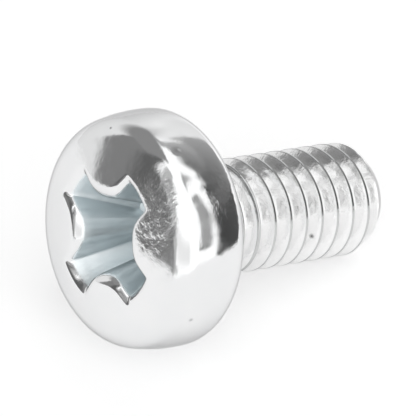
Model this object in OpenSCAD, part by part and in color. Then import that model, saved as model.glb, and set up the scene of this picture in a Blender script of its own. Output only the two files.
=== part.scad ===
// Pan head machine screw, M4 x 8, with a cross recess of size 2.
// Lengths are in millimetres. The screw lies at rest on its head's rim and its last thread,
// and the origin is the centre of the bearing face under the head.

/* [Head] */
// Diameter of the head
head_d = 8; // [7.2:0.05:9]
// Height of the head, from the bearing face to the top of the crown
head_h = 3.1; // [2.8:0.05:3.6]
// Radius of the shallow crown
crown_r = 14; // [9:0.5:30]
// Radius of the shoulder between the crown and the side
shoulder_r = 0.8; // [0.6:0.05:1.3]
// Radius of the slightly barrelled side
side_r = 6; // [4:0.5:20]
// Distance of the widest ring from the bearing face
widest_h = 0.8; // [0.6:0.05:1.2]
// Radius of the edge between the side and the bearing face
rim_r = 0.6; // [0.2:0.05:0.9]

/* [Cross recess] */
// Diameter across the wings, where they meet the crown
recess_d = 4.6; // [4:0.05:5]
// Diameter of the wings at their deep end
recess_deep_d = 2.29; // [1.8:0.05:2.6]
// Slope of the wing ends away from the screw's axis
wing_end_slope = 26.5; // [24:0.5:30]
// Thickness of a wing at its deep end
wing_t = 0.7; // [0.5:0.05:0.9]
// Draft on each side of a wing
wing_draft = 5.75; // [3:0.25:8]
// Distance across the flats between the wings, at the deep end
core_w = 1.47; // [1.2:0.05:1.8]
// Draft on each of those flats
core_draft = 14; // [8:0.5:18]
// Depth of the cone at the bottom, below the deep end of the wings
bottom_h = 0.5; // [0.3:0.05:0.7]
// Turn of the first wing from straight up
wing_angle = 27; // [0:1:90]

/* [Thread] */
// Diameter over the thread's crests
thread_d = 3.9; // [3.6:0.05:4.2]
// Pitch of the thread
pitch = 0.7; // [0.5:0.05:1]
// Included angle of the thread's flanks
flank_angle = 60; // [55:1:65]
// Turn of the thread about its axis
thread_turn = 0; // [0:5:360]

/* [Shank] */
// Length under the head
shank_l = 8.1; // [6:0.1:16]
// Length of the plain neck under the head
neck_l = 0.5; // [0.3:0.05:1]
// Radius of the fillet between the neck and the bearing face
fillet_r = 0.25; // [0.1:0.05:0.3]
// Length over which the thread grows out of the neck
runout_l = 0.7; // [0.4:0.1:1.2]
// Length of the chamfer at the tip
chamfer_l = 0.6; // [0.3:0.05:0.9]
// Diameter of the flat end face
tip_d = 2.9; // [2.2:0.05:3]

/* [Hidden] */

$fn = 96;
head_r = head_d / 2;
thread_r = thread_d / 2;
tip_r = tip_d / 2;

// The thread's section, as shares of the pitch: a flat crest, straight flanks, and a root
// rounded by one middle point
crest_share = 1 / 8;
depth_share = 0.6134;
root_round_share = 0.05;
thread_h = depth_share * pitch;
root_round = root_round_share * pitch;
root_r = thread_r - thread_h;
flank_share = (thread_h - root_round) * tan(flank_angle / 2) / pitch;
// The blank that the thread is rolled on has the thread's mean diameter
mean_share = 0.3248;
neck_r = thread_r - mean_share * pitch;
// The thread's solid starts inside the neck, slimmer than it by neck_step, and the neck's end
// slopes down to meet it
thread_from = neck_l / 2;
neck_step = 0.05;

// Each turn of the thread: where its points lie, as shares of the pitch, and their radii
turn_at = [
    0,
    crest_share,
    crest_share + flank_share,
    (1 + crest_share) / 2,
    1 - flank_share
];
turn_r = [thread_r, thread_r, root_r + root_round, root_r, root_r + root_round];
turn_points = len(turn_at);
columns = 48;
// Turns that the points start before the shank, so that every column has one there
lead_turns = 2;
turns = ceil((shank_l - thread_from) / pitch) + lead_turns;
last_row = turns * turn_points;

// Crown, shoulder, side and rim are four arcs that meet smoothly. A centre is given by its
// distance from the axis, at_r, and its height, z. Two arcs meet in line with their centres
crown_z = crown_r - head_h;
side_at_r = head_r - side_r;
rim_at_r = side_at_r + sqrt(pow(side_r - rim_r, 2) - pow(widest_h - rim_r, 2));
// From the side's centre, the shoulder's lies centre_along towards the crown's centre, and
// centre_out square to that line
side_to_crown = norm([side_at_r, crown_z + widest_h]);
centre_along = (pow(side_r - shoulder_r, 2) - pow(crown_r - shoulder_r, 2) + pow(side_to_crown, 2))
    / (2 * side_to_crown);
centre_out = sqrt(pow(side_r - shoulder_r, 2) - pow(centre_along, 2));
shoulder_at_r = side_at_r
    + ((crown_z + widest_h) * centre_out - side_at_r * centre_along) / side_to_crown;
shoulder_z = ((crown_z + widest_h) * centre_along + side_at_r * centre_out) / side_to_crown
    - widest_h;
crown_edge_r = shoulder_at_r * crown_r / (crown_r - shoulder_r);
side_top_z = (shoulder_z + widest_h) * side_r / (side_r - shoulder_r) - widest_h;
side_low_z = (widest_h - rim_r) * side_r / (side_r - rim_r) - widest_h;

// Depths of the recess, from the ring where its wings meet the crown
recess_top_z = crown_z - sqrt(pow(crown_r, 2) - pow(recess_d / 2, 2));
recess_h = (recess_d - recess_deep_d) / 2 / tan(wing_end_slope);
recess_deep_z = recess_top_z + recess_h;
// The cutter reaches this far above the crown, and its bars this far across
clear_h = 1;
bar_l = 2 * recess_d;

// At rest the axis falls towards the tip: the rim and the last full crest touch the floor.
// crest_z is where a crest ends along the side that lies down
crest_z = thread_from + pitch * (crest_share + thread_turn / 360);
rest_crest_z = crest_z + pitch * floor((shank_l - chamfer_l - crest_z) / pitch);
rest_run = rest_crest_z + rim_r;
rest_rise = rim_at_r - thread_r;
rest_tilt = atan(rest_rise / rest_run) + asin(rim_r / norm([rest_run, rest_rise]));

// The screw's own axis is +Z here, from the head to the tip, with the bearing face at 0
module head_half_section() {
    intersection() {
        translate([0, crown_z]) circle(crown_r);
        translate([0, -head_h]) square([crown_edge_r, head_h]);
    }
    translate([shoulder_at_r, shoulder_z]) circle(shoulder_r);
    intersection() {
        translate([side_at_r, -widest_h]) circle(side_r);
        translate([0, side_top_z]) square([head_r, side_low_z - side_top_z]);
    }
    translate([rim_at_r, -rim_r]) circle(rim_r);
    translate([0, -head_h / 2]) square([rim_at_r, head_h / 2]);
}

module head() {
    rotate_extrude() intersection() {
        head_half_section();
        translate([0, -head_h]) square([head_r, head_h]);
    }
}

module neck() {
    rotate_extrude() {
        polygon([
            [0, -rim_r], [neck_r, -rim_r], [neck_r, neck_l - neck_step],
            [neck_r - 2 * neck_step, neck_l + neck_step], [0, neck_l + neck_step]
        ]);
        difference() {
            square([neck_r + fillet_r, fillet_r]);
            translate([neck_r + fillet_r, fillet_r]) circle(fillet_r);
        }
    }
}

// Height of a row of thread points, in one of the columns round the screw
function row_z(column, row) =
    thread_from - lead_turns * pitch + pitch * (thread_turn / 360 + floor(row / turn_points)
        + turn_at[row % turn_points] + column / columns);

// The thread fades in past the neck, and the chamfer trims it at the tip
function thread_radius(row, z) =
    let (grown = max(0, min(1, (z - neck_l) / runout_l)),
         full = turn_r[row % turn_points],
         trimmed = tip_r + (thread_r - tip_r) * (shank_l - z) / chamfer_l)
    min(trimmed, neck_r - neck_step + grown * (full - neck_r + neck_step));

module thread() {
    rows = [for (row = [0 : last_row + turn_points]) row];
    first = [for (c = [0 : columns - 1]) max([for (r = rows) if (row_z(c, r) <= thread_from) r])];
    final = [for (c = [0 : columns - 1]) min([for (r = rows) if (row_z(c, r) >= shank_l) r])];
    points = [for (c = [0 : columns - 1]) for (r = rows)
        let (z = max(thread_from, min(shank_l, row_z(c, r))),
             radius = thread_radius(r, z),
             angle = 360 * c / columns)
        [radius * cos(angle), radius * sin(angle), z]];
    function at(c, r) = c == columns
        ? at(0, r + turn_points)
        : c * len(rows) + max(first[c], min(final[c], r));
    skin = [for (c = [0 : columns - 1]) for (r = [0 : last_row - 1])
        for (face = [[at(c, r), at(c + 1, r + 1), at(c + 1, r)], [at(c, r), at(c, r + 1), at(c + 1, r + 1)]])
        if (face[0] != face[1] && face[1] != face[2] && face[2] != face[0]) face];
    near_end = [for (c = [0 : columns - 1]) at(c, 0)];
    far_end = [for (c = [columns - 1 : -1 : 0]) at(c, last_row)];
    polyhedron(points, concat(skin, [near_end, far_end]));
}

// A long bar across the axis with drafted sides, thinner towards the tip
module drafted_bar(width, draft) {
    top_z = recess_top_z - clear_h;
    end_z = recess_deep_z + bottom_h;
    half_at_top = width / 2 + (recess_deep_z - top_z) * tan(draft);
    half_at_end = width / 2 - bottom_h * tan(draft);
    rotate([90, 0, 0]) linear_extrude(bar_l, center = true) polygon([
        [-half_at_top, top_z], [half_at_top, top_z], [half_at_end, end_z], [-half_at_end, end_z]
    ]);
}

module drive_recess() {
    intersection() {
        union() {
            for (turn = [0, 90]) rotate(turn) drafted_bar(wing_t, wing_draft);
            rotate(45) intersection() {
                drafted_bar(core_w, core_draft);
                rotate(90) drafted_bar(core_w, core_draft);
            }
        }
        rotate_extrude() polygon([
            [0, recess_top_z - clear_h],
            [recess_d / 2 + clear_h * tan(wing_end_slope), recess_top_z - clear_h],
            [recess_deep_d / 2, recess_deep_z],
            [0, recess_deep_z + bottom_h]
        ]);
    }
}

module screw() {
    color("gainsboro") rotate([0, 90 + rest_tilt, 0]) difference() {
        union() {
            head();
            neck();
            thread();
        }
        rotate(wing_angle) drive_recess();
    }
}

screw();
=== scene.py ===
"""A bright zinc-plated pan head machine screw, M4 x 8, lying on a pale floor in soft studio light.

Lengths are in millimetres until a finished piece is scaled to metres. The screw's own axes have +Z
from the head to the tip and the bearing face at 0, as in the part's source.
"""

import logging
import math
from dataclasses import dataclass, field
from enum import Enum
from typing import Callable

import bmesh
import bpy
from mathutils import Euler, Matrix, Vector


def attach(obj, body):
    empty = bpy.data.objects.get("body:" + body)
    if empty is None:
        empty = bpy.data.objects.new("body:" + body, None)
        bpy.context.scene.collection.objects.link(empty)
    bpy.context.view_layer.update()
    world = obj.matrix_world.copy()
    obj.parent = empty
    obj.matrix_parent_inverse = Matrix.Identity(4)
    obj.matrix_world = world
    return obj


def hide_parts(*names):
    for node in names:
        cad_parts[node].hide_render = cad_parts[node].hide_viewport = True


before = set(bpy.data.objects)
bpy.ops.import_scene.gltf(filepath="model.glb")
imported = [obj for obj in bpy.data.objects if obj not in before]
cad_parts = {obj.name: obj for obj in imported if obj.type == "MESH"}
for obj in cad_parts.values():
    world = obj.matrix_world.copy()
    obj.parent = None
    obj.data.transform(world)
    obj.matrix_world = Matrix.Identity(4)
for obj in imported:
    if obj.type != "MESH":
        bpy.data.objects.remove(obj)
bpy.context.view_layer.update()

logging.basicConfig(level=logging.INFO, format="%(levelname)s %(message)s")
log = logging.getLogger("screw")

MM = 0.001
TURN = 2 * math.pi


class Stand(Enum):
    """How a card stands round the table."""

    FLAT = "flat and square to the line to its middle"
    CURVED = "curved round the table, with level edges above and below"


def linear(hex_colour: str) -> tuple[float, float, float, float]:
    """Turns an sRGB hex colour to the linear values that a shader takes.

    Args:
        hex_colour: The colour as "#RRGGBB".

    Returns:
        Red, green, blue and an alpha of 1.
    """
    parts = [int(hex_colour[i : i + 2], 16) / 255 for i in (1, 3, 5)]
    red, green, blue = (c / 12.92 if c <= 0.04045 else ((c + 0.055) / 1.055) ** 2.4 for c in parts)
    return red, green, blue, 1.0


def add_node(
    tree: bpy.types.NodeTree,
    kind: str,
    settings: dict[str, object] | None = None,
    values: dict[str | int, object] | None = None,
    links: dict[str | int, bpy.types.NodeSocket] | None = None,
) -> bpy.types.Node:
    """Adds one node with its settings, its input values and the links into it.

    Args:
        tree: The tree that gets the node.
        kind: Blender's name for the kind of node.
        settings: Properties of the node itself.
        values: Values for its input sockets, by name or place.
        links: Output sockets of other nodes, by the input they feed.

    Returns:
        The new node.
    """
    node = tree.nodes.new(kind)
    for name, value in (settings or {}).items():
        setattr(node, name, value)
    for name, value in (values or {}).items():
        node.inputs[name].default_value = value
    for name, socket in (links or {}).items():
        tree.links.new(socket, node.inputs[name])
    return node


def rest_alone(piece: bpy.types.Object) -> None:
    """Deselects everything else and makes the piece active.

    Args:
        piece: The piece to work on next.
    """
    bpy.ops.object.select_all(action="DESELECT")
    piece.select_set(True)
    bpy.context.view_layer.objects.active = piece


@dataclass
class Seat:
    """How the screw lies: on its head's rim and its last full crest, the axis falling to the tip."""

    rest_tilt: float = 14.591401
    floor_z: float = -3.735600

    def lay_down(self, piece: bpy.types.Object) -> None:
        """Turns a piece from the screw's own axes to rest and scales it to metres.

        Args:
            piece: A mesh made in millimetres in the screw's own axes.
        """
        rest_alone(piece)
        piece.rotation_euler = Euler((0, math.radians(90 + self.rest_tilt), 0))
        piece.scale = (MM, MM, MM)
        bpy.ops.object.transform_apply(location=True, rotation=True, scale=True)


@dataclass(frozen=True)
class Mark:
    """A small round dent from handling, in the screw's own axes and in millimetres."""

    at: tuple[float, float, float]
    radius: float
    depth: float
    # How far its middle is darkened, from 0 for not at all to 1 for black
    darkening: float = 0.0


@dataclass(frozen=True)
class ZincPlate:
    """Bright zinc plate on carbon steel, barrel plated and passivated clear.

    The plate is fine grained, so edges of reflections break up into small flecks, and the clear passivate gives
    it a faint cool cast.
    Inside the recess a stronger cool tint is painted in as painted bounce light, where light reflects twice.
    """

    metal: str = "#F0F0F0"
    cool_cast: str = "#E9EAEB"
    # Painted bounce light: a stronger cool tint in the recess, where light reflects off the walls twice
    recess_painted_bounce_tint: str = "#ECF2F4"
    # The thread's rolled metal is burnished, so the plate on it is brighter, but it lies rougher
    rolled_metal: str = "#F8F8F8"
    # Painted shade: the crests are coloured darker to stand in for the dark lines that shade and dark reflections
    # draw along them
    crest_painted_shade: str = "#CACBCB"
    crest_from_mm: float = 1.93
    crest_full_mm: float = 1.94
    # The young crests near the head lie this much lower
    young_low_mm: float = 0.09
    young_until_mm: float = 2.6
    young_full_mm: float = 1.8
    # The clear film darkens the metal where it is seen edge on
    edge_tint: str = "#CBCBCB"
    dark_mark_colour: str = "#2A2A2A"
    roughness_low: float = 0.05
    roughness_high: float = 0.12
    # What rolling, the heading punch and the tumbling each add to the roughness
    rolled_roughness: float = 0.12
    punched_roughness: float = 0.24
    mottled_roughness: float = 0.15
    # Widths of the plate's grain, of the flecks it breaks a reflection into, of the waves that
    # rolling leaves on the thread, and of the heading punch's streaks down the recess's walls
    grain_mm: float = 0.045
    fleck_mm: float = 0.3
    wave_mm: float = 0.2
    streak_mm: float = 0.24
    streak_length_mm: float = 3.0
    # Heights that the grain, flecks, waves and streaks stand up
    grain_height_mm: float = 0.0012
    fleck_height_mm: float = 0.003
    wave_height_mm: float = 0.012
    streak_height_mm: float = 0.016
    # Screws that tumbled against the crown in the barrel left it mottled beside the recess
    mottle_at: tuple[float, float, float] = (-1.9, -2.0, -2.84)
    mottle_inner_mm: float = 0.7
    mottle_outer_mm: float = 1.7
    # The mottling fades out over the shoulder
    mottle_from_z: float = -2.35
    mottle_full_z: float = -2.65
    # They left it less so on the side behind
    side_mottle_at: tuple[float, float, float] = (-2.6, -3.03, -0.4)
    side_mottle_inner_mm: float = 0.6
    side_mottle_outer_mm: float = 1.4
    side_mottle_share: float = 0.4
    mottle_mm: float = 0.27
    mottle_height_mm: float = 0.04
    marks: tuple[Mark, ...] = (
        Mark((-3.65, -1.41, -1.84), 0.24, 0.007, 0.3),
        Mark((1.45, -3.65, -1.76), 0.12, 0.02, 0.35),
        Mark((-3.37, 1.15, -2.57), 0.06, 0.01, 0.6),
        Mark((0.26, -1.7, 4.84), 0.13, 0.01, 0.9),
    )

    def make(self, seat: Seat) -> bpy.types.Material:
        """Builds the finish.

        Args:
            seat: How the screw lies, to turn the pattern to the screw's own axes.

        Returns:
            The material.
        """
        material = bpy.data.materials.new("zinc_plate_barrel_plated")
        material.use_nodes = True
        tree = material.node_tree
        tree.nodes.clear()
        place = add_node(tree, "ShaderNodeTexCoord").outputs["Object"]
        turned = add_node(
            tree,
            "ShaderNodeMapping",
            values={"Scale": (1 / MM,) * 3, "Rotation": (0, -math.radians(90 + seat.rest_tilt), 0)},
            links={"Vector": place},
        ).outputs["Vector"]
        in_recess = add_node(
            tree, "ShaderNodeAttribute", settings={"attribute_name": "recess_wall"}
        ).outputs["Fac"]

        out_of_recess = add_node(
            tree,
            "ShaderNodeMath",
            settings={"operation": "SUBTRACT"},
            values={0: 1.0},
            links={1: in_recess},
        ).outputs["Value"]
        fleck = add_node(
            tree,
            "ShaderNodeTexNoise",
            values={"Scale": 1 / self.fleck_mm, "Detail": 1.0, "Roughness": 0.5},
            links={"Vector": turned},
        ).outputs["Fac"]
        mottle = add_node(
            tree,
            "ShaderNodeTexNoise",
            values={"Scale": 1 / self.mottle_mm, "Detail": 2.0},
            links={"Vector": turned},
        ).outputs["Fac"]
        mottled = self.nearness(
            tree, turned, self.mottle_at, self.mottle_inner_mm, self.mottle_outer_mm
        )
        own = add_node(tree, "ShaderNodeSeparateXYZ", links={"Vector": turned}).outputs
        on_crown = add_node(
            tree,
            "ShaderNodeMapRange",
            values={"From Min": self.mottle_from_z, "From Max": self.mottle_full_z},
            links={"Value": own["Z"]},
        ).outputs["Result"]
        for limit in (out_of_recess, on_crown):
            mottled = add_node(
                tree,
                "ShaderNodeMath",
                settings={"operation": "MULTIPLY"},
                links={0: mottled, 1: limit},
            ).outputs["Value"]
        on_side = self.nearness(
            tree,
            turned,
            self.side_mottle_at,
            self.side_mottle_inner_mm,
            self.side_mottle_outer_mm,
        )
        mottled = add_node(
            tree,
            "ShaderNodeMath",
            settings={"operation": "MULTIPLY_ADD"},
            values={1: self.side_mottle_share},
            links={0: on_side, 2: mottled},
        ).outputs["Value"]
        grain = add_node(
            tree,
            "ShaderNodeTexNoise",
            values={"Scale": 1 / self.grain_mm, "Detail": 2.0},
            links={"Vector": turned},
        ).outputs["Fac"]
        drawn_out = add_node(
            tree,
            "ShaderNodeMapping",
            values={"Scale": (1 / self.streak_mm, 1 / self.streak_mm, 1 / self.streak_length_mm)},
            links={"Vector": turned},
        ).outputs["Vector"]
        streak = add_node(
            tree,
            "ShaderNodeTexNoise",
            values={"Scale": 1.0, "Detail": 1.0, "Roughness": 0.5},
            links={"Vector": drawn_out},
        ).outputs["Fac"]

        bumped = add_node(
            tree,
            "ShaderNodeBump",
            values={"Distance": self.fleck_height_mm * MM},
            links={"Strength": out_of_recess, "Height": fleck},
        ).outputs["Normal"]
        bumped = add_node(
            tree,
            "ShaderNodeBump",
            values={"Distance": self.mottle_height_mm * MM},
            links={"Strength": mottled, "Height": mottle, "Normal": bumped},
        ).outputs["Normal"]
        on_shank = add_node(
            tree, "ShaderNodeMapRange", values={"From Max": 0.1}, links={"Value": own["Z"]}
        ).outputs["Result"]
        across = add_node(
            tree, "ShaderNodeCombineXYZ", links={"X": own["X"], "Y": own["Y"]}
        ).outputs["Vector"]
        radius = add_node(
            tree,
            "ShaderNodeVectorMath",
            settings={"operation": "LENGTH"},
            links={0: across},
        ).outputs["Value"]
        lowered = add_node(
            tree,
            "ShaderNodeMapRange",
            values={"From Min": self.young_until_mm, "From Max": self.young_full_mm, "To Max": self.young_low_mm},
            links={"Value": own["Z"]},
        ).outputs["Result"]
        radius = add_node(
            tree,
            "ShaderNodeMath",
            settings={"operation": "ADD"},
            links={0: radius, 1: lowered},
        ).outputs["Value"]
        # Where the painted shade on the crests goes
        painted_crest_shade_share = add_node(
            tree,
            "ShaderNodeMapRange",
            values={"From Min": self.crest_from_mm, "From Max": self.crest_full_mm},
            links={"Value": radius},
        ).outputs["Result"]
        painted_crest_shade_share = add_node(
            tree,
            "ShaderNodeMath",
            settings={"operation": "MULTIPLY"},
            links={0: painted_crest_shade_share, 1: on_shank},
        ).outputs["Value"]
        wave = add_node(
            tree,
            "ShaderNodeTexNoise",
            values={"Scale": 1 / self.wave_mm, "Detail": 2.0},
            links={"Vector": turned},
        ).outputs["Fac"]
        bumped = add_node(
            tree,
            "ShaderNodeBump",
            values={"Distance": self.wave_height_mm * MM},
            links={"Strength": on_shank, "Height": wave, "Normal": bumped},
        ).outputs["Normal"]
        bumped = add_node(
            tree,
            "ShaderNodeBump",
            values={"Strength": 1.0, "Distance": self.grain_height_mm * MM},
            links={"Height": grain, "Normal": bumped},
        ).outputs["Normal"]
        bumped = add_node(
            tree,
            "ShaderNodeBump",
            values={"Distance": self.streak_height_mm * MM},
            links={"Strength": in_recess, "Height": streak, "Normal": bumped},
        ).outputs["Normal"]

        cloud = add_node(
            tree,
            "ShaderNodeTexNoise",
            values={"Scale": 0.7, "Detail": 2.0},
            links={"Vector": turned},
        ).outputs["Fac"]
        plate = add_node(
            tree,
            "ShaderNodeMix",
            settings={"data_type": "RGBA"},
            values={6: linear(self.metal), 7: linear(self.cool_cast)},
            links={0: cloud},
        ).outputs[2]
        colour = plate
        # Laid over the plate in turn: the shank's brighter rolled metal, the painted shade on the crests and the
        # painted bounce tint in the recess
        for share, hex_colour in (
            (on_shank, self.rolled_metal),
            (painted_crest_shade_share, self.crest_painted_shade),
            (in_recess, self.recess_painted_bounce_tint),
        ):
            colour = add_node(
                tree,
                "ShaderNodeMix",
                settings={"data_type": "RGBA"},
                values={7: linear(hex_colour)},
                links={0: share, 6: colour},
            ).outputs[2]
        for mark in self.marks:
            near = self.nearness(tree, turned, mark.at, 0.0, mark.radius)
            bumped = add_node(
                tree,
                "ShaderNodeBump",
                settings={"invert": True},
                values={"Strength": 1.0, "Distance": mark.depth * MM},
                links={"Height": near, "Normal": bumped},
            ).outputs["Normal"]
            if mark.darkening:
                darkened = add_node(
                    tree,
                    "ShaderNodeMath",
                    settings={"operation": "MULTIPLY"},
                    values={1: mark.darkening},
                    links={0: near},
                ).outputs["Value"]
                colour = add_node(
                    tree,
                    "ShaderNodeMix",
                    settings={"data_type": "RGBA"},
                    values={7: linear(self.dark_mark_colour)},
                    links={0: darkened, 6: colour},
                ).outputs[2]
        rough = add_node(
            tree,
            "ShaderNodeMapRange",
            values={
                "From Min": 0.3,
                "From Max": 0.7,
                "To Min": self.roughness_low,
                "To Max": self.roughness_high,
            },
            links={"Value": fleck},
        ).outputs["Result"]
        for share, more in (
            (on_shank, self.rolled_roughness),
            (in_recess, self.punched_roughness),
            (mottled, self.mottled_roughness),
        ):
            rough = add_node(
                tree,
                "ShaderNodeMath",
                settings={"operation": "MULTIPLY_ADD"},
                values={1: more},
                links={0: share, 2: rough},
            ).outputs["Value"]
        shader = add_node(
            tree,
            "ShaderNodeBsdfPrincipled",
            values={"Metallic": 1.0, "Specular Tint": linear(self.edge_tint)},
            links={"Base Color": colour, "Roughness": rough, "Normal": bumped},
        ).outputs["BSDF"]
        add_node(tree, "ShaderNodeOutputMaterial", links={"Surface": shader})
        return material

    @staticmethod
    def nearness(
        tree: bpy.types.NodeTree,
        place: bpy.types.NodeSocket,
        middle: tuple[float, float, float],
        inner: float,
        outer: float,
    ) -> bpy.types.NodeSocket:
        """Adds the nodes that tell how near a place is to a point.

        Args:
            tree: The material's tree.
            place: The place, in the screw's own axes and in millimetres.
            middle: The point.
            inner: Distance up to which the result is 1.
            outer: Distance from which the result is 0.

        Returns:
            A share from 0 to 1.
        """
        away = add_node(
            tree,
            "ShaderNodeVectorMath",
            settings={"operation": "DISTANCE"},
            values={1: middle},
            links={0: place},
        ).outputs["Value"]
        return add_node(
            tree,
            "ShaderNodeMapRange",
            settings={"interpolation_type": "SMOOTHSTEP"},
            values={"From Min": outer, "From Max": inner},
            links={"Value": away},
        ).outputs["Result"]


@dataclass
class CrossRecess:
    """The size 2 cross recess: four drafted wings round a core with flats between them."""

    across: float = 4.6
    deep_across: float = 2.29
    wing_end_slope: float = 26.5
    wing_thickness: float = 0.7
    wing_draft: float = 5.75
    core_width: float = 1.47
    core_draft: float = 14.0
    bottom_height: float = 0.5
    wing_angle: float = 27.0
    # The punch leaves its edges rounded, most of all on the noses between the wings
    lip: float = 0.24
    nose_lip: float = 0.36
    wing_corner: float = 0.09
    nose_corner: float = 0.6
    # Points along half a wing and half a nose: end arc, corner, side, corner, flat
    points: tuple[int, ...] = (4, 3, 6, 6, 2)

    @property
    def per_half(self) -> int:
        """Points from the middle of a wing to the middle of a nose."""
        return sum(self.points)

    @property
    def columns(self) -> int:
        """Points all round."""
        return 8 * self.per_half

    def depth(self) -> float:
        """Height from the mouth to the deep end of the wings."""
        return (self.across - self.deep_across) / 2 / math.tan(math.radians(self.wing_end_slope))

    def half_outline(self, above_deep: float, grow: float) -> list[Vector]:
        """Points from the middle of a wing's end to the middle of the next nose.

        Args:
            above_deep: Height above the deep end of the wings.
            grow: How far the outline is moved out into the metal.

        Returns:
            One more point than there are spaces, in the recess's own turn.
        """
        half_t = self.wing_thickness / 2 + above_deep * math.tan(math.radians(self.wing_draft)) + grow
        core = self.core_width / 2 + above_deep * math.tan(math.radians(self.core_draft)) + grow
        end = self.deep_across / 2 + above_deep * math.tan(math.radians(self.wing_end_slope)) + grow
        half_t = min(half_t, end * 0.9)
        corner = Vector((math.sqrt(end * end - half_t * half_t), half_t))
        nose_start = Vector((core * math.sqrt(2) - half_t, half_t))
        nose_mid = Vector((core, core)) / math.sqrt(2)
        if nose_start.x < half_t:
            nose_start = Vector((half_t, half_t))
            nose_mid = nose_start.copy()
        outer, inner = self.wing_corner, self.nose_corner
        outer = min(outer, half_t * 0.45)
        inner = min(inner, max(0.01, (nose_mid - nose_start).length * 0.9))
        end_angle = math.asin(half_t / end) - outer / end
        before_corner = Vector((math.cos(end_angle), math.sin(end_angle))) * end
        after_corner = corner + Vector((-outer, 0))
        before_nose = nose_start + Vector((inner, 0))
        along = (nose_mid - nose_start)
        along = along.normalized() if along.length > 1e-6 else Vector((-1, 1)).normalized()
        after_nose = nose_start + along * inner
        arc, bend, side, turn, flat = self.points
        line = [
            Vector((math.cos(end_angle * i / arc), math.sin(end_angle * i / arc))) * end
            for i in range(arc)
        ]
        line += [self.curve(before_corner, corner, after_corner, i / bend) for i in range(bend)]
        line += [after_corner.lerp(before_nose, i / side) for i in range(side)]
        line += [self.curve(before_nose, nose_start, after_nose, i / turn) for i in range(turn)]
        line += [after_nose.lerp(nose_mid, i / flat) for i in range(flat + 1)]
        return line

    @staticmethod
    def curve(start: Vector, over: Vector, end: Vector, share: float) -> Vector:
        """A point on a rounded corner, from start to end and drawn towards over."""
        return start.lerp(over, share).lerp(over.lerp(end, share), share)

    def point(self, column: int, above_deep: float, grow: float) -> Vector:
        """One point of the outline in the screw's own axes.

        Args:
            column: Which of the points all round.
            above_deep: Height above the deep end of the wings.
            grow: How far the outline is moved out into the metal.

        Returns:
            The point across the axis.
        """
        step = column % (2 * self.per_half)
        mirrored = step > self.per_half
        at = self.half_outline(above_deep, grow)[2 * self.per_half - step if mirrored else step]
        flat = Vector((at.y, at.x)) if mirrored else at.copy()
        turn = math.radians(self.wing_angle + 90 * (column // (2 * self.per_half)))
        return Vector(
            (
                flat.x * math.cos(turn) - flat.y * math.sin(turn),
                flat.x * math.sin(turn) + flat.y * math.cos(turn),
            )
        )

    def lip_at(self, column: int) -> float:
        """Radius of the rounded edge at a column, larger on the noses."""
        step = column % (2 * self.per_half)
        step = min(step, 2 * self.per_half - step)
        start = sum(self.points[:3])
        share = max(0.0, min(1.0, (step - start + 1) / (self.points[3] + 1)))
        share = share * share * (3 - 2 * share)
        return self.lip + (self.nose_lip - self.lip) * share


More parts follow.
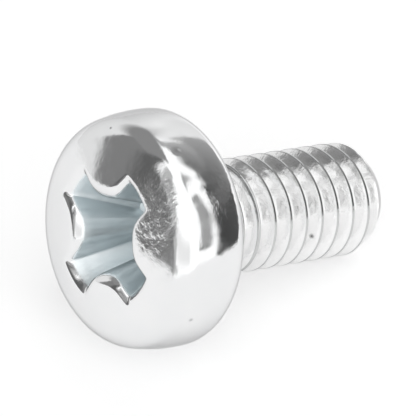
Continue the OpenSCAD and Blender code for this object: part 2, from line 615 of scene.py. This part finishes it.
@dataclass
class PanHead:
    """The pan head with its crown, shoulder, side, rim, bearing face, fillet and recess."""

    diameter: float = 8.0
    height: float = 3.1
    crown_radius: float = 14.0
    shoulder_radius: float = 0.8
    # The side is slightly barrelled: its radius, and how far its widest ring is from the face
    side_radius: float = 6.0
    widest_height: float = 0.8
    rim_radius: float = 0.6
    neck_radius: float = 1.72264
    neck_length: float = 0.5
    fillet_radius: float = 0.25
    recess: CrossRecess = field(default_factory=CrossRecess)

    @property
    def crown_z(self) -> float:
        """Height of the crown's centre."""
        return self.crown_radius - self.height

    def crown_at(self, radius: float) -> float:
        """Height of the crown at a distance from the axis."""
        return self.crown_z - math.sqrt(self.crown_radius**2 - radius**2)

    def shoulder_centre(self, side: Vector) -> Vector:
        """Centre of the shoulder's arc, which touches the side's arc and the crown's from inside.

        Args:
            side: Centre of the barrelled side's arc.

        Returns:
            Its distance from the axis and its height.
        """
        to_crown = Vector((0.0, self.crown_z)) - side
        from_side = self.side_radius - self.shoulder_radius
        from_crown = self.crown_radius - self.shoulder_radius
        span = to_crown.length
        along = (from_side**2 - from_crown**2 + span**2) / (2 * span)
        out = math.sqrt(from_side**2 - along**2)
        way = to_crown / span
        return side + way * along + Vector((way.y, -way.x)) * out

    def profile(self) -> list[tuple[float, float]]:
        """Radius and height of each round ring, from the neck to the crown outside the recess."""
        rings: list[tuple[float, float]] = []
        foot = self.neck_radius + self.fillet_radius
        rings.append((self.neck_radius, 0.38))
        for i in range(7):
            a = math.pi / 2 * i / 6
            rings.append(
                (foot - self.fillet_radius * math.cos(a), self.fillet_radius * (1 - math.sin(a)))
            )
        # Four arcs that meet smoothly: rim, barrelled side, shoulder and crown. Angles are from
        # square to the axis, positive towards the crown
        side = Vector((self.diameter / 2 - self.side_radius, -self.widest_height))
        rim_fall = self.widest_height - self.rim_radius
        rim_span = self.side_radius - self.rim_radius
        rim = Vector((side.x + math.sqrt(rim_span**2 - rim_fall**2), -self.rim_radius))
        low = -math.asin(rim_fall / rim_span)
        shoulder = self.shoulder_centre(side)
        top = math.atan2(side.y - shoulder.y, shoulder.x - side.x)
        crown = math.atan2(self.crown_z - shoulder.y, shoulder.x)
        rings += [(foot + (rim.x - foot) * share, 0.0) for share in (0.06, 0.35, 0.65, 0.94, 1.0)]
        for centre, radius, start, end, steps in (
            (rim, self.rim_radius, -math.pi / 2, low, 12),
            (side, self.side_radius, low, top, 8),
            (shoulder, self.shoulder_radius, top, crown, 16),
        ):
            for i in range(1, steps + 1):
                a = start + (end - start) * i / steps
                rings.append((centre.x + radius * math.cos(a), centre.y - radius * math.sin(a)))
        edge = rings[-1][0]
        for share in (0.1, 0.35, 0.65, 1.0):
            radius = edge + (2.78 - edge) * share
            rings.append((radius, self.crown_at(radius)))
        return rings

    def build(self) -> bpy.types.Object:
        """Grows the head ring by ring from the neck and sinks the recess into its crown.

        Returns:
            The open head mesh in millimetres, with its neck ring free.
        """
        count = self.recess.columns
        bpy.ops.object.select_all(action="DESELECT")
        bpy.ops.mesh.primitive_circle_add(
            vertices=count, radius=self.neck_radius, location=(0, 0, 0), fill_type="NOTHING"
        )
        head = bpy.context.active_object
        head.name = "screw"
        bpy.ops.object.mode_set(mode="EDIT")
        bpy.ops.mesh.select_all(action="SELECT")
        bpy.ops.transform.translate(value=(0, 0, self.neck_length))
        mesh = bmesh.from_edit_mesh(head.data)
        column = mesh.verts.layers.int.new("column")
        mesh.verts.layers.float.new("recess_wall")
        for v in mesh.verts:
            angle = math.atan2(v.co.y, v.co.x) % TURN
            v[column] = round(angle / TURN * count) % count
        bmesh.update_edit_mesh(head.data)
        radius, height = self.neck_radius, self.neck_length
        for next_radius, next_height in self.profile():
            bpy.ops.mesh.extrude_region_move(
                TRANSFORM_OT_translate={"value": (0, 0, next_height - height)}
            )
            ratio = next_radius / radius
            bpy.ops.transform.resize(
                value=(ratio, ratio, 1), center_override=(0, 0, next_height)
            )
            radius, height = next_radius, next_height
        self.sink_recess(head, radius)
        bpy.ops.object.mode_set(mode="OBJECT")
        return head

    def sink_recess(self, head: bpy.types.Object, crown_ring: float) -> None:
        """Carries the last crown ring in to the recess's lip, down its walls and to its bottom.

        Args:
            head: The head in edit mode with its last ring selected.
            crown_ring: Radius of that ring.
        """
        recess = self.recess
        count = recess.columns
        shift = round(recess.wing_angle / 360 * count)
        mouth_z = self.crown_at(recess.across / 2)
        deep_z = mouth_z + recess.depth()

        def on_lip(k: int, around: float) -> Vector:
            lip = recess.lip_at(k)
            grow, sunk = lip * (1 - math.sin(around)), lip * (1 - math.cos(around))
            flat = recess.point(k, deep_z - mouth_z, grow)
            z = self.crown_at(flat.length) + sunk
            flat = recess.point(k, deep_z - z, grow)
            return Vector((flat.x, flat.y, self.crown_at(flat.length) + sunk))

        def on_crown(k: int, share: float) -> Vector:
            lip = on_lip(k, 0)
            turn = TURN * (k + shift) / count
            ring = Vector((math.cos(turn), math.sin(turn))) * crown_ring
            flat = ring.lerp(lip.to_2d(), share)
            return Vector((flat.x, flat.y, self.crown_at(flat.length)))

        def bottom_at(k: int) -> Vector:
            flat = recess.point(k, 0, 0)
            for _ in range(4):
                z = deep_z + recess.bottom_height * (1 - 2 * flat.length / recess.deep_across)
                flat = recess.point(k, deep_z - z, 0)
            return Vector((flat.x, flat.y, z))

        def on_wall(k: int, share: float) -> Vector:
            top, end = on_lip(k, math.pi / 2), bottom_at(k)
            z = top.z + (end.z - top.z) * share
            flat = recess.point(k, deep_z - z, 0)
            return Vector((flat.x, flat.y, z))

        def on_bottom(k: int, share: float) -> Vector:
            start = bottom_at(k)
            flat = start.to_2d() * (1 - share)
            z = deep_z + recess.bottom_height * (1 - 2 * flat.length / recess.deep_across)
            return Vector((flat.x, flat.y, z))

        steps: list[tuple[Callable[[int, float], Vector], float, float]] = []
        steps += [(on_crown, i / 6, 0.0) for i in range(1, 6)]
        steps += [(on_lip, math.pi / 2 * i / 6, max(0.0, i / 2 - 2)) for i in range(7)]
        steps += [(on_wall, i / 9, 1.0) for i in range(1, 10)]
        steps += [(on_bottom, share, 1.0) for share in (0.12, 0.4, 0.7, 0.9)]
        for form, share, walled in steps:
            bpy.ops.mesh.extrude_region_move(TRANSFORM_OT_translate={"value": (0, 0, 0)})
            mesh = bmesh.from_edit_mesh(head.data)
            column = mesh.verts.layers.int["column"]
            wall = mesh.verts.layers.float["recess_wall"]
            for v in mesh.verts:
                if v.select:
                    v.co = form((v[column] - shift) % count, share)
                    v[wall] = walled
            bmesh.update_edit_mesh(head.data)
        bpy.ops.mesh.merge(type="CENTER")


@dataclass
class RolledThread:
    """The M4 x 0.7 rolled thread, from where it grows out of the neck to the chamfered tip."""

    diameter: float = 3.9
    pitch: float = 0.7
    flank_angle: float = 60.0
    depth_share: float = 0.6134
    root_round_share: float = 0.05
    crest_share: float = 1 / 8
    neck_radius: float = 1.72264
    neck_length: float = 0.5
    runout: float = 0.45
    length: float = 8.1
    chamfer: float = 0.6
    tip_diameter: float = 2.9
    # Height at which a crest starts along the side that lies down
    crest_start: float = 0.25
    # Rolling folds the metal up from both flanks, which leaves the young crests low, with a seam
    seam_depth: float = 0.025
    seam_until: float = 2.6
    young_loss: float = 0.07

    def section(self) -> list[tuple[float, float]]:
        """Share of the pitch and radius of each point of one turn, starting at a crest's middle."""
        crest = self.diameter / 2
        flat = self.crest_share / 2
        slope = math.tan(math.radians(self.flank_angle / 2))
        deep = self.depth_share - self.root_round_share
        half = [(0.0, 0.0), (0.8 * flat, 0.0), (flat, 0.008)]
        half += [(flat + d * slope, d) for d in (0.03, 0.14, 0.26, 0.38, 0.5)]
        root_from = flat + deep * slope
        half += [
            (root_from - 0.01, deep - 0.02),
            (root_from + 0.3 * (0.5 - root_from), deep + 0.6 * self.root_round_share),
            (root_from + 0.65 * (0.5 - root_from), deep + 0.92 * self.root_round_share),
        ]
        line = [(share, crest - self.pitch * drop) for share, drop in half]
        line.append((0.5, crest - self.pitch * self.depth_share))
        line += [(1 - share, crest - self.pitch * drop) for share, drop in reversed(half[1:])]
        return line

    def build(self, columns: int) -> bpy.types.Object:
        """Sweeps one turn's section round the axis, then lets it grow in and chamfers it.

        Args:
            columns: Points all round, as many as on the head, so that the neck's rings meet.

        Returns:
            The open thread mesh in millimetres, with its neck ring free and its tip closed.
        """
        line = self.section()
        bpy.ops.object.select_all(action="DESELECT")
        bpy.ops.mesh.primitive_plane_add(size=1, location=(0, 0, 0))
        thread = bpy.context.active_object
        thread.name = "thread"
        bpy.ops.object.mode_set(mode="EDIT")
        bpy.ops.mesh.select_all(action="DESELECT")
        mesh = bmesh.from_edit_mesh(thread.data)
        mesh.verts.ensure_lookup_table()
        for v in mesh.verts:
            v.select = v.co.x < 0
        mesh.select_flush_mode()
        bmesh.update_edit_mesh(thread.data)
        bpy.ops.mesh.delete(type="VERT")
        bpy.ops.mesh.select_all(action="SELECT")
        bpy.ops.mesh.subdivide(number_cuts=len(line) - 1)
        mesh = bmesh.from_edit_mesh(thread.data)
        mid = self.crest_start + self.pitch * self.crest_share / 2
        start = mid - 2 * self.pitch
        for v, (share, radius) in zip(
            sorted(mesh.verts, key=lambda v: v.co.y), line + [(1.0, line[0][1])]
        ):
            v.co = (radius, 0, start + self.pitch * share)
        bmesh.update_edit_mesh(thread.data)
        bpy.ops.object.mode_set(mode="OBJECT")
        sweep = thread.modifiers.new("turns", "SCREW")
        sweep.axis = "Z"
        sweep.angle = TURN
        sweep.steps = sweep.render_steps = columns
        sweep.screw_offset = self.pitch
        sweep.iterations = math.ceil((self.length - start) / self.pitch) + 1
        sweep.use_smooth_shade = True
        rest_alone(thread)
        bpy.ops.object.modifier_apply(modifier=sweep.name)
        self.trim(thread)
        return thread

    def trim(self, thread: bpy.types.Object) -> None:
        """Grows the swept turns out of the neck, seams the young crests and chamfers the tip.

        Args:
            thread: The swept thread.
        """
        bpy.ops.object.mode_set(mode="EDIT")
        bpy.ops.mesh.select_all(action="SELECT")
        bpy.ops.mesh.remove_doubles(threshold=0.0005)
        mesh = bmesh.from_edit_mesh(thread.data)
        crest, tip = self.diameter / 2, self.tip_diameter / 2
        for v in mesh.verts:
            radius = math.hypot(v.co.x, v.co.y)
            z = min(max(v.co.z, self.neck_length), self.length)
            grown = min(1.0, (z - self.neck_length) / self.runout)
            grown = grown * grown * (3 - 2 * grown)
            young = max(0.0, min(1.0, (self.seam_until - z) / 0.8))
            middle = self.crest_start + self.pitch * self.crest_share / 2
            off = (v.co.z - middle - self.pitch * math.atan2(v.co.y, v.co.x) / TURN) / self.pitch
            off = abs(off - round(off))
            seam = self.seam_depth * young * max(0.0, 1 - off / (0.4 * self.crest_share))
            full = min(radius, crest - self.young_loss * young) - seam
            full = self.neck_radius + grown * (full - self.neck_radius)
            cut = tip + (crest - tip) * (self.length - z) / self.chamfer
            scale = min(full, cut) / radius
            v.co = (v.co.x * scale, v.co.y * scale, z)
        bmesh.update_edit_mesh(thread.data)
        bpy.ops.mesh.remove_doubles(threshold=0.0005)
        bpy.ops.mesh.select_all(action="DESELECT")
        mesh = bmesh.from_edit_mesh(thread.data)
        for edge in mesh.edges:
            edge.select = edge.is_boundary and edge.verts[0].co.z > self.length - 0.001
        bmesh.update_edit_mesh(thread.data)
        # The end face is drawn in a little by the rolling, with a soft edge and a shallow dish
        height, ratio_now = self.length, 1.0
        for ratio, next_height in ((0.97, 8.095), (0.85, 8.07), (0.6, 7.99), (0.3, 7.94), (0.1, 7.93)):
            bpy.ops.mesh.extrude_region_move(
                TRANSFORM_OT_translate={"value": (0, 0, next_height - height)}
            )
            step = ratio / ratio_now
            bpy.ops.transform.resize(value=(step, step, 1), center_override=(0, 0, next_height))
            height, ratio_now = next_height, ratio
        bpy.ops.mesh.merge(type="CENTER")
        bpy.ops.object.mode_set(mode="OBJECT")


@dataclass
class MachineScrew:
    """The whole screw: head and thread joined at the neck, laid down and dressed."""

    head: PanHead = field(default_factory=PanHead)
    thread: RolledThread = field(default_factory=RolledThread)
    seat: Seat = field(default_factory=Seat)
    finish: ZincPlate = field(default_factory=ZincPlate)

    def build(self) -> bpy.types.Object:
        """Makes the one closed mesh and ties it to the frame.

        Returns:
            The finished piece.
        """
        head = self.head.build()
        thread = self.thread.build(self.head.recess.columns)
        bpy.ops.object.select_all(action="DESELECT")
        thread.select_set(True)
        head.select_set(True)
        bpy.context.view_layer.objects.active = head
        bpy.ops.object.join()
        piece = bpy.context.active_object
        bpy.ops.object.mode_set(mode="EDIT")
        bpy.ops.mesh.select_all(action="SELECT")
        bpy.ops.mesh.remove_doubles(threshold=0.0005)
        bpy.ops.mesh.normals_make_consistent(inside=False)
        mesh = bmesh.from_edit_mesh(piece.data)
        open_edges = sum(1 for e in mesh.edges if not e.is_manifold)
        volume = mesh.calc_volume()
        bpy.ops.object.mode_set(mode="OBJECT")
        self.seat.lay_down(piece)
        bpy.ops.object.shade_smooth_by_angle(angle=math.radians(24))
        piece.data.materials.clear()
        piece.data.materials.append(self.finish.make(self.seat))
        piece.name = piece.data.name = "zinc_plated_screw"
        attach(piece, "root")
        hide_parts("screw")
        log.info(
            "screw: %d faces, %d open edges, %.1f mm3", len(piece.data.polygons), open_edges, volume
        )
        return piece


@dataclass(frozen=True)
class PaleFloor:
    """White matt table surface: it spreads light evenly and keeps the screw's soft shadow."""

    colour: str = "#FFFFFF"
    shade_share: float = 0.85
    glow: float = 0.385

    def make(self) -> bpy.types.Material:
        """Builds the floor's finish.

        Returns:
            The material, which shows white to the camera and in reflections.
        """
        material = bpy.data.materials.new("white_table_matt")
        material.use_nodes = True
        tree = material.node_tree
        tree.nodes.clear()
        red, green, blue, _ = linear(self.colour)
        share = self.shade_share
        matt = add_node(
            tree,
            "ShaderNodeBsdfDiffuse",
            values={"Color": (red * share, green * share, blue * share, 1)},
        ).outputs["BSDF"]
        path = add_node(tree, "ShaderNodeLightPath").outputs
        seen = add_node(
            tree,
            "ShaderNodeMath",
            settings={"operation": "MAXIMUM"},
            links={0: path["Is Camera Ray"], 1: path["Is Glossy Ray"]},
        ).outputs["Value"]
        seen = add_node(
            tree,
            "ShaderNodeMath",
            settings={"operation": "MAXIMUM"},
            links={0: seen, 1: path["Is Transmission Ray"]},
        ).outputs["Value"]
        strength = add_node(
            tree,
            "ShaderNodeMath",
            settings={"operation": "MULTIPLY"},
            values={1: self.glow},
            links={0: seen},
        ).outputs["Value"]
        glow = add_node(
            tree,
            "ShaderNodeEmission",
            values={"Color": (red, green, blue, 1)},
            links={"Strength": strength},
        ).outputs["Emission"]
        both = add_node(tree, "ShaderNodeAddShader", links={0: matt, 1: glow}).outputs["Shader"]
        add_node(tree, "ShaderNodeOutputMaterial", links={"Surface": both})
        return material


@dataclass(frozen=True)
class Card:
    """A card or a lit panel that stands round the table and shows in the plate.

    Angles are in degrees: the azimuth goes from +X towards +Y. The tilt turns a flat card about
    the line to its middle, and leans a curved card's upright edges.
    """

    name: str
    azimuth: float
    elevation: float
    half_width: float
    half_height: float
    level: float
    soft: float = 4.0
    tilt: float = 0.0
    stand: Stand = Stand.FLAT
    # Level at the edge of greater azimuth, where the card isn't evenly lit
    end_level: float | None = None


@dataclass
class Studio:
    """The table, the cards and lit panels round it, and the camera."""

    seat: Seat = field(default_factory=Seat)
    floor: PaleFloor = field(default_factory=PaleFloor)
    # The table ends close behind the head and reaches far past the tip
    floor_from: float = -33.0
    floor_to: float = 220.0
    sky_level: float = 1.25
    camera_at: tuple[float, float, float] = (-76.278, -98.729, 83.283)
    camera_along: tuple[float, float, float] = (0.51604, 0.65495, -0.55203)
    lens: float = 389.81
    cards: tuple[Card, ...] = (
        Card("far low card", 214.0, 9.0, 30.0, 9.0, 0.95, 6.0, 0.0, Stand.CURVED),
        Card("far pale wall", 92.0, 8.0, 45.0, 34.0, 0.88, 12.0, 0.0, Stand.CURVED),
        Card("right pale wall", 32.0, 29.0, 14.0, 17.0, 0.94, 5.0, 0.0, Stand.CURVED),
        Card("right high card", 39.0, 55.0, 8.0, 6.0, 0.45, 3.0, 20.0, Stand.CURVED),
        Card("far grey wall", 97.5, 62.0, 52.5, 29.0, 0.28, 8.0, 0.0, Stand.CURVED),
        Card("far pale card", 176.0, 30.0, 15.0, 46.0, 0.55, 2.5, -20.0, Stand.CURVED),
        Card("far grey card", 144.5, 15.0, 20.0, 25.0, 0.24, 1.5, 15.0, Stand.CURVED),
        Card("far dark card", 151.0, 33.0, 7.5, 44.0, 0.13, 3.5, -3.0, Stand.CURVED),
        Card("far light slit", 159.0, 46.0, 1.5, 26.0, 0.5, 1.2, -3.0, Stand.CURVED),
        Card("far dark slit", 170.0, 28.0, 2.4, 30.0, 0.17, 1.5, -30.0, Stand.CURVED),
        Card("far second slit", 180.0, 32.0, 1.6, 30.0, 0.24, 1.5, -30.0, Stand.CURVED),
        Card("far third slit", 192.0, 36.0, 1.6, 24.0, 0.6, 1.5, -38.0, Stand.CURVED),
        Card("far low strip", 184.0, -5.0, 10.0, 1.2, 0.3, 1.0, 0.0, Stand.CURVED),
        Card("right grey wall", -7.0, 15.0, 16.0, 6.5, 0.12, 3.0, 0.0, Stand.CURVED, 0.45),
        Card("side high card", 3.0, 46.5, 27.0, 8.5, 0.12, 2.0, -60.0, Stand.CURVED, 0.5),
        Card("side middle card", -11.0, 30.0, 35.0, 12.0, 0.06, 1.8, -38.0, Stand.CURVED, 0.42),
        Card("side low card", -38.0, 5.0, 20.5, 15.5, 0.06, 1.5, -19.0, Stand.CURVED, 0.11),
        Card("near dark sliver", -60.5, 22.0, 4.8, 21.0, 0.14, 0.7, -25.0, Stand.CURVED),
        Card("near grey sliver", -60.5, 22.5, 3.6, 19.0, 0.4, 0.7, -25.0, Stand.CURVED),
        Card("near high card", -42.0, 58.0, 9.0, 5.0, 0.42, 3.0, -10.0),
    )

    def lay_floor(self) -> bpy.types.Object:
        """Lays the table surface under the screw.

        Returns:
            The floor.
        """
        bpy.ops.object.select_all(action="DESELECT")
        middle = (self.floor_from + self.floor_to) / 2 * MM
        bpy.ops.mesh.primitive_plane_add(
            size=(self.floor_to - self.floor_from) * MM,
            location=(middle, middle, self.seat.floor_z * MM),
        )
        floor = bpy.context.active_object
        floor.name = "table"
        bpy.ops.object.transform_apply(location=True, rotation=True, scale=True)
        floor.data.materials.append(self.floor.make())
        return floor

    @staticmethod
    def angles_from(
        card: Card, tree: bpy.types.NodeTree, way: bpy.types.NodeSocket
    ) -> tuple[bpy.types.NodeSocket, bpy.types.NodeSocket]:
        """Adds the nodes that measure how far a direction is from a card's middle.

        Args:
            card: The card.
            tree: The room's tree.
            way: The direction that is looked in.

        Returns:
            The angle across the card and the angle up it.
        """
        flat = card.stand is Stand.FLAT
        turned = add_node(
            tree,
            "ShaderNodeMapping",
            settings={"vector_type": "TEXTURE", "label": card.name},
            values={
                "Rotation": (
                    math.radians(card.tilt) if flat else 0.0,
                    -math.radians(card.elevation) if flat else 0.0,
                    math.radians(card.azimuth),
                )
            },
            links={"Vector": way},
        ).outputs["Vector"]
        parts = add_node(tree, "ShaderNodeSeparateXYZ", links={"Vector": turned}).outputs

        def math_node(operation: str, **kinds: dict) -> bpy.types.NodeSocket:
            return add_node(
                tree, "ShaderNodeMath", settings={"operation": operation}, **kinds
            ).outputs["Value"]

        across = math_node("ARCTAN2", links={0: parts["Y"], 1: parts["X"]})
        if flat:
            return across, math_node("ARCTAN2", links={0: parts["Z"], 1: parts["X"]})
        height = math_node("ARCSINE", links={0: parts["Z"]})
        up = math_node("SUBTRACT", values={1: math.radians(card.elevation)}, links={0: height})
        leaned = math_node(
            "MULTIPLY_ADD", values={1: math.tan(math.radians(card.tilt))}, links={0: up, 2: across}
        )
        return leaned, up

    def light(self) -> None:
        """Surrounds the table with a white room and its cards."""
        world = bpy.data.worlds.new("white_room")
        bpy.context.scene.world = world
        world.use_nodes = True
        tree = world.node_tree
        tree.nodes.clear()
        way = add_node(tree, "ShaderNodeTexCoord").outputs["Generated"]
        level = None
        for card in self.cards:
            inside = None
            across, up = self.angles_from(card, tree, way)
            for angle, half in ((across, card.half_width), (up, card.half_height)):
                away = add_node(
                    tree, "ShaderNodeMath", settings={"operation": "ABSOLUTE"}, links={0: angle}
                ).outputs["Value"]
                share = add_node(
                    tree,
                    "ShaderNodeMapRange",
                    settings={"interpolation_type": "SMOOTHSTEP"},
                    values={
                        "From Min": math.radians(half + card.soft),
                        "From Max": math.radians(half - card.soft),
                    },
                    links={"Value": away},
                ).outputs["Result"]
                inside = (
                    share
                    if inside is None
                    else add_node(
                        tree,
                        "ShaderNodeMath",
                        settings={"operation": "MULTIPLY"},
                        links={0: inside, 1: share},
                    ).outputs["Value"]
                )
            sources = {0: inside}
            if level is not None:
                sources[2] = level
            if card.end_level is not None:
                sources[3] = add_node(
                    tree,
                    "ShaderNodeMapRange",
                    values={
                        "From Min": -math.radians(card.half_width),
                        "From Max": math.radians(card.half_width),
                        "To Min": card.level,
                        "To Max": card.end_level,
                    },
                    links={"Value": across},
                ).outputs["Result"]
            level = add_node(
                tree,
                "ShaderNodeMix",
                settings={"data_type": "FLOAT"},
                values={2: self.sky_level, 3: card.level},
                links=sources,
            ).outputs[0]
        room = add_node(
            tree, "ShaderNodeBackground", values={"Color": (1, 1, 1, 1)}, links={"Strength": level}
        ).outputs["Background"]
        plain = add_node(
            tree, "ShaderNodeBackground", values={"Color": (1, 1, 1, 1), "Strength": 1.0}
        ).outputs["Background"]
        camera_ray = add_node(tree, "ShaderNodeLightPath").outputs["Is Camera Ray"]
        shown = add_node(
            tree, "ShaderNodeMixShader", links={0: camera_ray, 1: room, 2: plain}
        ).outputs["Shader"]
        add_node(tree, "ShaderNodeOutputWorld", links={"Surface": shown})

    def set_camera(self) -> None:
        """Puts the camera at the photograph's viewing angle."""
        data = bpy.data.cameras.new("camera")
        camera = bpy.data.objects.new("camera", data)
        bpy.context.scene.collection.objects.link(camera)
        camera.location = Vector(self.camera_at) * MM
        camera.rotation_euler = Vector(self.camera_along).to_track_quat("-Z", "Y").to_euler()
        data.lens = self.lens
        data.sensor_width = 36.0
        data.clip_start, data.clip_end = 0.005, 5.0
        bpy.context.scene.camera = camera


def keep_sizes() -> None:
    log.info("size written")


def main() -> None:
    """Builds the screw and its studio in order."""
    scene = bpy.context.scene
    scene.view_settings.view_transform = "Standard"
    studio = Studio()
    studio.set_camera()
    studio.lay_floor()
    studio.light()
    MachineScrew().build()
    keep_sizes()


if __name__ == "__main__":
    main()
